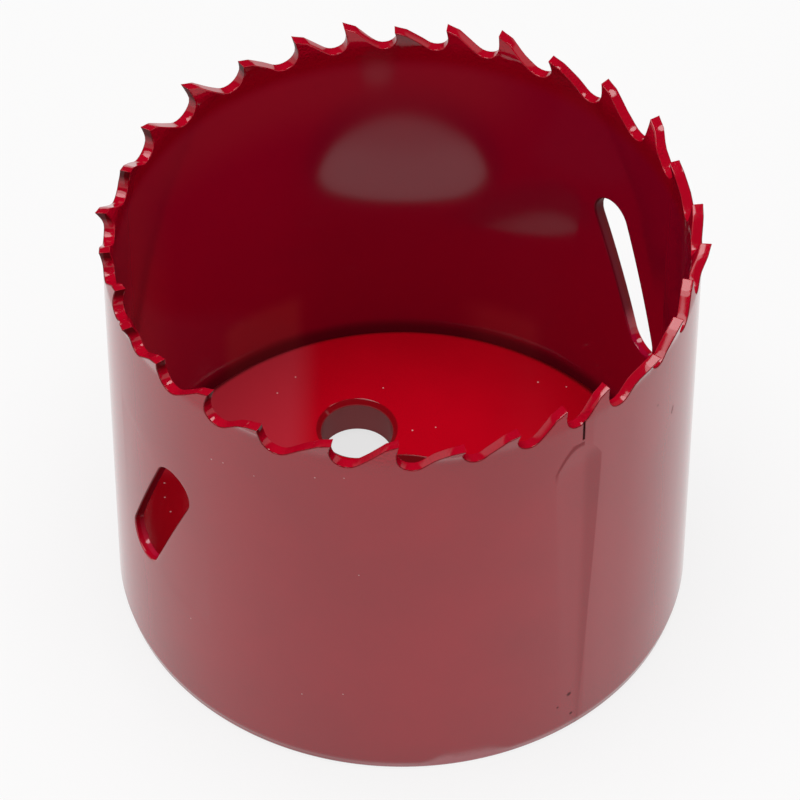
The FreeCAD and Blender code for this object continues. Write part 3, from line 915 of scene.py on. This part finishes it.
def weave_slot(bm, cut_face, outer, inner, band, slot, azimuth):
    """Fills the window round a slug slot: outer wall, rounded edges, cut face and inner wall."""
    radius = band.body_radius
    inner_radius = radius - band.thickness
    lean_s, lean_c = math.sin(slot.slant), math.cos(slot.slant)
    edge = slot.edge_radius

    def flat(vertex):
        """Arc from the slot's middle and height above it."""
        turn = math.atan2(vertex.co.y, vertex.co.x) - azimuth
        turn = (turn + math.pi) % (2 * math.pi) - math.pi
        return np.array([turn, vertex.co.z - slot.height])

    def solid(point, distance):
        turn = azimuth + point[0]
        height = slot.height + point[1]
        return Vector((distance * math.cos(turn), distance * math.sin(turn), height))

    starts = [flat(vertex) for vertex in outer]
    goals = np.array([flat(vertex) for vertex in inner])
    ends = [inner[np.argmin(np.hypot(*((goals - start) * [radius, 1]).T))] for start in starts]
    bearings = []
    for turn, up in starts:
        arc = turn * radius
        along = arc * lean_s + up * lean_c
        over = arc * lean_c - up * lean_s
        bearings.append(slot_bearing(slot, over, along))
    bearings = np.array(bearings)
    for corner in np.radians([45, 135, -45, -135]):
        off = (bearings - corner + math.pi) % (2 * math.pi) - math.pi
        bearings[np.argmin(abs(off))] = corner

    def cut_point(index, offset, distance):
        point, way = slot_outline(slot, bearings[index])
        over, along = point + way * offset
        across = over * lean_c + along * lean_s
        up = along * lean_c - over * lean_s
        return np.array([math.asin(across / distance), up])

    def wall_ring(share, distance):
        """A ring part of the way from the window to the slot's rounded edge."""
        reached = [start + (cut_point(i, edge, distance) - start) * share
                   for i, start in enumerate(starts)]
        return [bm.verts.new(solid(point, distance)) for point in reached]

    rings = [list(outer)] + [wall_ring(share, radius) for share in OUTER_RINGS]
    edges = [(offset, radius - drop) for offset, drop in rounding(edge)]
    edges += [(offset, inner_radius + drop) for offset, drop in rounding(edge)[::-1]]
    for offset, distance in edges:
        ring = [bm.verts.new(solid(cut_point(i, offset, distance), distance))
                for i in range(len(starts))]
        for vertex in ring:
            vertex[cut_face] = float(offset < edge)
        rings.append(ring)
    rings += [wall_ring(share, inner_radius) for share in INNER_RINGS] + [ends]
    loft(bm, rings)


class OBJECT_OT_hole_saw_band(bpy.types.Operator):
    """Makes the toothed band: the rolled strip with its set teeth, slug slots and ground weld"""
    bl_idname = "object.hole_saw_band"
    bl_label = "Toothed band"
    bl_options = {"REGISTER", "UNDO"}

    def execute(self, context):
        scene = context.scene
        band, slot, finish = scene.hole_saw_band, scene.hole_saw_slot, scene.hole_saw_finish
        material = lacquer("Strip lacquer", finish.band_red, band_marks, band, finish)
        section = put("strip_section", strip_section(band, slot))
        tree = band_tree(band, slot, len(section.data.vertices))
        links = {"Section": section, "Material": material}
        mesh = tree.run("toothed_strip", tooth_table(band), links)
        bm = bmesh.new()
        bm.from_mesh(mesh)
        cut_face = bm.verts.layers.float.new("cut_face")
        loops = boundary_loops(bm, 2 * slot.slot_count)
        for azimuth in around(slot.azimuth, slot.slot_count):
            way = Vector((math.cos(azimuth), math.sin(azimuth), 0))
            nearby = [loop for loop in loops if loop[0].co.dot(way) > 0]
            nearby.sort(key=lambda loop: -loop[0].co.xy.length)
            weave_slot(bm, cut_face, nearby[0], nearby[1], band, slot, azimuth)
        add_piece("toothed_band_lacquered", bm, mesh, material, "toothed_band")
        return {"FINISHED"}


# Cap plate

def bore_tree(settings):
    """The tree that makes the arbor hole's threaded wall and a narrow collar on each face."""
    tree = ShapeTree("Threaded bore")
    sizes = BORE_GRID | sizes_of(settings, "bore_radius thread_radius thread_pitch mouth_radius "
                                 "mouth_depth thickness edge_radius")
    links = {"Geometry": "Geometry", "Material": "Material"}
    (_, material, columns, rows, minor, major, pitch, mouth, mouth_depth, thickness,
     edge) = tree.inputs(links, sizes)
    mesh, column, row = tree.grid(columns + 1, rows)
    azimuth = column / columns * (2 * math.pi)
    z = thickness * tree.clamp((row - 2) / (rows - 5))
    collar = tree.most(2 - row, row - rows + 3, 0.0)
    winding = (z / pitch - azimuth / (2 * math.pi)) % 1
    ridge = tree.clamp(abs(winding - 0.5) * 2.6 - 0.15)
    depth = tree.least(z, thickness - z)
    cone = mouth - (mouth - minor) * tree.clamp(depth / mouth_depth)
    distance = tree.most(minor + (major - minor) * ridge, cone)
    round_off = tree.clamp(1 - depth / edge)
    distance = distance + edge * (0.5 * round_off * round_off + collar)
    tree.close(tree.wrap(mesh, distance, azimuth, z), material)
    return tree


def turn_section(bm, centre, section, count):
    """Sweeps a section round a centre and gives its first and its last ring of vertices."""
    turns = [2 * math.pi * i / count for i in range(count)]
    rings = [[bm.verts.new((centre.x + radius * math.cos(turn), centre.y + radius * math.sin(turn),
                            height)) for turn in turns] for radius, height in section]
    loft(bm, rings)
    return rings[0], rings[-1]


def rounded(corners, radius, steps=3):
    """A section's outline with each inner corner turned into a short arc of points."""
    points = [np.array(corners[0])]
    for before, corner, after in zip(corners, corners[1:], corners[2:]):
        before, corner, after = (np.array(p) for p in (before, corner, after))
        way_in = (before - corner) / np.linalg.norm(before - corner)
        way_out = (after - corner) / np.linalg.norm(after - corner)
        start = corner + way_in * radius
        end = corner + way_out * radius
        for share in np.linspace(0, 1, steps + 1):
            points.append((1 - share) ** 2 * start + 2 * share * (1 - share) * corner
                          + share ** 2 * end)
    points.append(np.array(corners[-1]))
    return points


class OBJECT_OT_hole_saw_cap(bpy.types.Operator):
    """Makes the cap plate with its threaded arbor hole and drive pin holes"""
    bl_idname = "object.hole_saw_cap"
    bl_label = "Cap plate"
    bl_options = {"REGISTER", "UNDO"}

    def execute(self, context):
        cap, finish = context.scene.hole_saw_cap, context.scene.hole_saw_finish
        material = lacquer("Cap lacquer", finish.cap_red, cap_marks, cap, finish)
        empty = bpy.data.meshes.new("bore_start")
        mesh = bore_tree(cap).run("threaded_bore", empty, {"Material": material})
        bm = bmesh.new()
        bm.from_mesh(mesh)
        loops = sorted(boundary_loops(bm, 2), key=lambda loop: loop[0].co.z)
        bottom, top = [loops[0]], [loops[1]]

        edge, thick = cap.edge_radius, cap.thickness
        width, depth = cap.edge_width, cap.edge_depth
        inner = cap.radius - width - 3 * edge
        corners = [(inner, 0), (cap.radius, 0), (cap.radius, thick - depth),
                   (cap.radius - width, thick), (inner, thick)]
        low, high = turn_section(bm, Vector((0, 0)), rounded(corners, edge), EDGE_POINTS)
        bottom.append(low)
        top.append(high)

        bore, mouth, sink = cap.pin_radius, cap.pin_mouth_radius, cap.pin_mouth_depth
        outer = mouth + edge
        corners = [(outer, thick), (mouth, thick), (bore, thick - sink), (bore, 0), (outer, 0)]
        for azimuth in around(cap.pin_azimuth, cap.pin_count):
            centre = Vector((math.cos(azimuth), math.sin(azimuth))) * cap.pin_circle
            high, low = turn_section(bm, centre, rounded(corners, edge / 2), PIN_POINTS)
            top.append(high)
            bottom.append(low)
        for loops in (bottom, top):
            edges = [bm.edges.get(pair) for loop in loops
                     for pair in zip(loop, loop[1:] + loop[:1])]
            bmesh.ops.triangle_fill(bm, use_beauty=True, use_dissolve=False, edges=edges)
        add_piece("cap_plate_lacquered", bm, mesh, material, "cap_plate")
        return {"FINISHED"}


# Stage

class OBJECT_OT_hole_saw_stage(bpy.types.Operator):
    """Makes the floor, the light and the camera"""
    bl_idname = "object.hole_saw_stage"
    bl_label = "Stage"
    bl_options = {"REGISTER", "UNDO"}

    def ray(self, graph, kind):
        """1 for rays of a kind."""
        return graph.take("ShaderNodeLightPath", output=f"Is {kind} Ray")

    def floor_shares(self, graph):
        """How much of the floor is white by itself for a ray, less in a painted shadow beneath the
        saw, and 1 beneath the saw.
        """
        glossy = self.ray(graph, "Glossy")
        seen = graph.most(self.ray(graph, "Camera"), self.ray(graph, "Transmission"), glossy)
        x, y, _ = graph.split(graph.take("ShaderNodeTexCoord", output="Object"))
        distance = graph.sqrt(x * x + y * y)
        beneath = graph.fade(distance, 26, 23)
        # Painted shadow in the floor's reflections beneath the saw, deepest away from the arbor
        # hole and towards the front
        mirrored = 0.24 + 0.61 * graph.fade(distance, 7, 10) + 0.25 * graph.fade(y, -0.5, -5)
        return FLOOR_WHITE * seen * (1 - beneath * (0.15 + glossy * mirrored)), beneath

    def make_floor(self, side):
        mesh = bpy.data.meshes.new("floor")
        half = side / 2
        corners = [(-half, -half, 0), (half, -half, 0), (half, half, 0), (-half, half, 0)]
        mesh.from_pydata(corners, [], [(0, 1, 2, 3)])
        material = bpy.data.materials.new("Pale floor")
        graph = shader_graph(material)
        share, beneath = self.floor_shares(graph)
        # Painted shadow: the floor's grey darkens beneath the saw
        grey = graph.blend(beneath, OPEN_GREY, SHADED_GREY)
        plain = graph.take("ShaderNodeBsdfDiffuse", {}, {"Color": grey})
        white = graph.take("ShaderNodeEmission", {}, {"Color": (1, 1, 1, 1), "Strength": 1.0})
        mixed = graph.take("ShaderNodeMixShader", {}, {0: share, 1: plain, 2: white})
        graph.node("ShaderNodeOutputMaterial", {}, {"Surface": mixed})
        mesh.materials.append(material)
        floor = put("floor", mesh)

    def make_world(self, context):
        """White for the camera; reflections show soft boxes and a pale horizon in the dark."""
        world = bpy.data.worlds.new("Studio")
        graph = shader_graph(world)
        way = graph.take("ShaderNodeTexCoord", output="Generated")
        _, ahead, rise = graph.split(way)
        horizon = graph.smooth(rise, 0.56, 0.42) * graph.smooth(ahead, 0.8, 0.55)
        mirrored = GLOOM + HORIZON * horizon
        for *angles, power in SOFTBOXES:
            azimuth, elevation, spread = map(math.radians, angles)
            middle = (math.cos(azimuth) * math.cos(elevation),
                      math.sin(azimuth) * math.cos(elevation), math.sin(elevation))
            facing = graph.measure("DOT_PRODUCT", way, middle)
            glow = power * graph.smooth(facing, math.cos(spread), math.cos(0.92 * spread))
            mirrored = graph.most(mirrored, glow)
        strength = (AMBIENT + (1 - AMBIENT) * self.ray(graph, "Camera")
                    + self.ray(graph, "Glossy") * (mirrored - AMBIENT))
        sockets = {"Color": (1, 1, 1, 1), "Strength": strength}
        light = graph.take("ShaderNodeBackground", {}, sockets)
        graph.node("ShaderNodeOutputWorld", {}, {"Surface": light})
        context.scene.world = world

    def make_lamp(self):
        """A soft lamp overhead, which reflections don't show."""
        lamp = bpy.data.lights.new("overhead", "AREA")
        lamp.shape = "DISK"
        lamp.size = LAMP_SIZE
        lamp.energy = LAMP_POWER
        holder = put("overhead", lamp)
        holder.location = LAMP_PLACE
        way = Vector(LAMP_AIM) - Vector(LAMP_PLACE)
        holder.rotation_euler = way.to_track_quat("-Z", "Y").to_euler()
        holder.visible_glossy = False

    def make_camera(self, context, stage):
        up_angle = stage.elevation
        forward = Vector((0, math.cos(up_angle), -math.sin(up_angle)))
        right = Vector((1, 0, 0))
        up = right.cross(forward)
        turn = Matrix.Rotation(stage.yaw, 3, up)
        forward, right = turn @ forward, turn @ right
        turn = Matrix.Rotation(stage.pitch, 3, right)
        forward, up = turn @ forward, turn @ up
        turn = Matrix.Rotation(stage.roll, 3, forward)
        right, up = turn @ right, turn @ up
        camera = bpy.data.cameras.new("camera")
        camera.sensor_width = SENSOR_WIDTH
        camera.lens = stage.focal_pixels * SENSOR_WIDTH / FRAME_PIXELS
        holder = put("camera", camera)
        place = Vector((0, -stage.distance * math.cos(up_angle),
                        stage.distance * math.sin(up_angle) + stage.aim_height))
        axes = Matrix((right, up, -forward)).transposed()
        holder.matrix_world = Matrix.Translation(place) @ axes.to_4x4()
        context.scene.camera = holder

    def execute(self, context):
        stage = context.scene.hole_saw_stage
        self.make_floor(stage.floor_size)
        self.make_world(context)
        self.make_lamp()
        self.make_camera(context, stage)
        context.scene.view_settings.view_transform = "Standard"
        return {"FINISHED"}


class VIEW3D_PT_hole_saw(bpy.types.Panel):
    """Lists the pieces and their sizes."""
    bl_label = "Hole saw"
    bl_space_type = "VIEW_3D"
    bl_region_type = "UI"
    bl_category = "Hole saw"

    def draw(self, context):
        for operator in OPERATORS:
            self.layout.operator(operator.bl_idname)
        for name, group in SETTINGS.items():
            box = self.layout.box()
            box.label(text=group.__doc__)
            for key in group.__annotations__:
                box.prop(getattr(context.scene, name), key)


OPERATORS = [OBJECT_OT_hole_saw_band, OBJECT_OT_hole_saw_cap, OBJECT_OT_hole_saw_stage]


def register():
    for group in SETTINGS.values():
        bpy.utils.register_class(group)
    for name, group in SETTINGS.items():
        setattr(bpy.types.Scene, name, PointerProperty(type=group))
    for operator in OPERATORS:
        bpy.utils.register_class(operator)
    bpy.utils.register_class(VIEW3D_PT_hole_saw)


def unregister():
    bpy.utils.unregister_class(VIEW3D_PT_hole_saw)
    for operator in reversed(OPERATORS):
        bpy.utils.unregister_class(operator)
    for name, group in SETTINGS.items():
        delattr(bpy.types.Scene, name)
        bpy.utils.unregister_class(group)


def main():
    register()
    bpy.ops.object.hole_saw_stage()
    bpy.ops.object.hole_saw_band()
    bpy.ops.object.hole_saw_cap()


if __name__ == "__main__":
    main()
